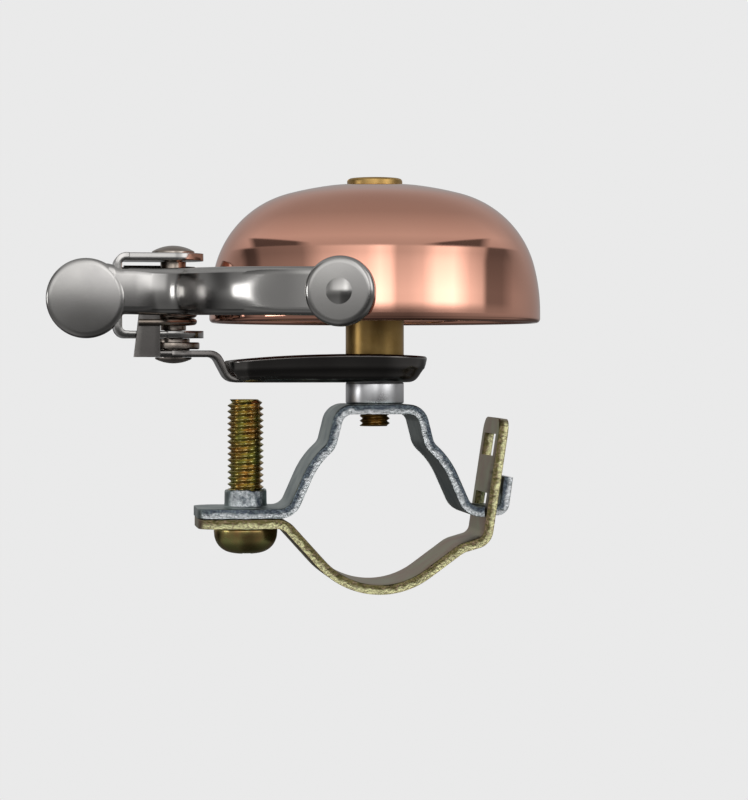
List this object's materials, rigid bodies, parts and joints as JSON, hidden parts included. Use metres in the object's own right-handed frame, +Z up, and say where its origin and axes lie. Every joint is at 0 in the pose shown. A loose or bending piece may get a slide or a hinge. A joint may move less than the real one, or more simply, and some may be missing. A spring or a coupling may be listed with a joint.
{
  "type": "bicycle bell",
  "caption": "Copper bicycle bell with a sprung thumb lever, struck by a hammer on a curved arm, on a hinged steel handlebar clamp.",
  "frame": {"origin": "axis of the handlebar in the closed clamp, half way along the clamp's width", "axes": "+Z up along the bell's centre screw, +Y along the handlebar towards the back, +X away from the thumb lever"},
  "size_m": [0.082, 0.0612, 0.0687],
  "materials": {
    "copper": "polished copper plate, lacquered",
    "brass_plate": "drawn brass, dulled",
    "bracket_steel": "dark polished plate",
    "spacer_steel": "turned",
    "zinc_blue": "clear zinc with rough sheared edges",
    "zinc_yellow": "yellow zinc with rough sheared edges",
    "bolt_zinc": "yellow zinc, iridescent",
    "nickel": "polished nickel plate",
    "rivet_steel": "dull plate",
    "spring_steel": "drawn wire"
  },
  "bodies": {
    "clamp_body": {"upper_strap": "zinc_blue"},
    "bell_body": {"bell_dome": "copper", "centre_screw": "brass_plate", "post_sleeve": "brass_plate", "striker_bracket": "bracket_steel", "steel_spacer": "spacer_steel", "pivot_pin": "rivet_steel", "pivot_bush": "rivet_steel", "return_spring": "spring_steel", "pivot_washer": "rivet_steel"},
    "lever_body": {"lever": "nickel", "hammer": "nickel"},
    "lower_strap_body": {"lower_strap": "zinc_yellow"},
    "bolt_body": {"clamp_bolt": "bolt_zinc"}
  },
  "joints": [
    {"name": "bell_swivel", "type": "hinge", "parent": "clamp_body", "child": "bell_body", "pos_m": [0, 0, 0], "axis": [0, 0, 1], "range_deg": [-90, 90]},
    {"name": "lever_swing", "type": "hinge", "parent": "bell_body", "child": "lever_body", "pos_m": [-0.0335, 0, 0.035], "axis": [0, 0, 1], "range_deg": [0, 5.5], "stiffness_Nm_per_rad": 0.02, "springref_deg": -34.38},
    {"name": "strap_swing", "type": "hinge", "parent": "clamp_body", "child": "lower_strap_body", "pos_m": [0.0195, 0, -0.00055], "axis": [0, -1, 0], "range_deg": [0, 6]},
    {"name": "bolt_travel", "type": "slide", "parent": "clamp_body", "child": "bolt_body", "axis": [0, 0, -1], "range_m": [0, 0.005]}
  ],
  "couplings": [
    {"joint": "bolt_travel", "follows": "strap_swing", "m_per_rad": 0.0475}
  ]
}
